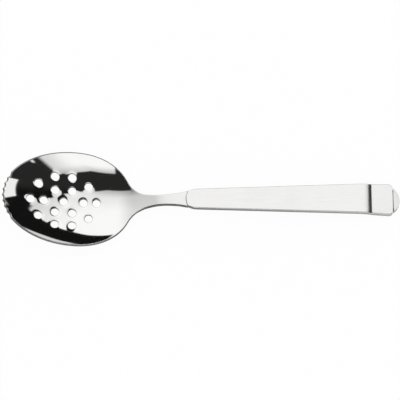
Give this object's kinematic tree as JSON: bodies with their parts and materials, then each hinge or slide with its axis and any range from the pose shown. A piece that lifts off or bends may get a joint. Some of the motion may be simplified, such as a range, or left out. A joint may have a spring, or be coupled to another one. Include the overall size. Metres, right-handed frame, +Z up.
{
  "type": "perforated ice serving spoon",
  "caption": "Stainless steel serving spoon with an oval perforated bowl, a toothed tip, a waisted neck and a flat hollow handle with a turned-down end.",
  "frame": {"origin": "middle of the spoon's bounding box on the surface that it lies on", "axes": "+X from the bowl's tip to the handle's end, +Y across the spoon to its left side, +Z up out of the bowl"},
  "size_m": [0.2396, 0.0588, 0.0248],
  "materials": {
    "polished_steel": "mirror-polished stainless steel",
    "satin_upper": "fine satin stainless steel, brushed along the handle",
    "satin_lower": "fine satin stainless steel, brushed along the handle",
    "plug_steel": "ground stainless steel"
  },
  "bodies": {
    "root": {"bowl_neck_tang": "polished_steel", "handle_upper_shell": "satin_upper", "handle_lower_shell": "satin_lower", "end_plug": "plug_steel"}
  },
  "joints": []
}
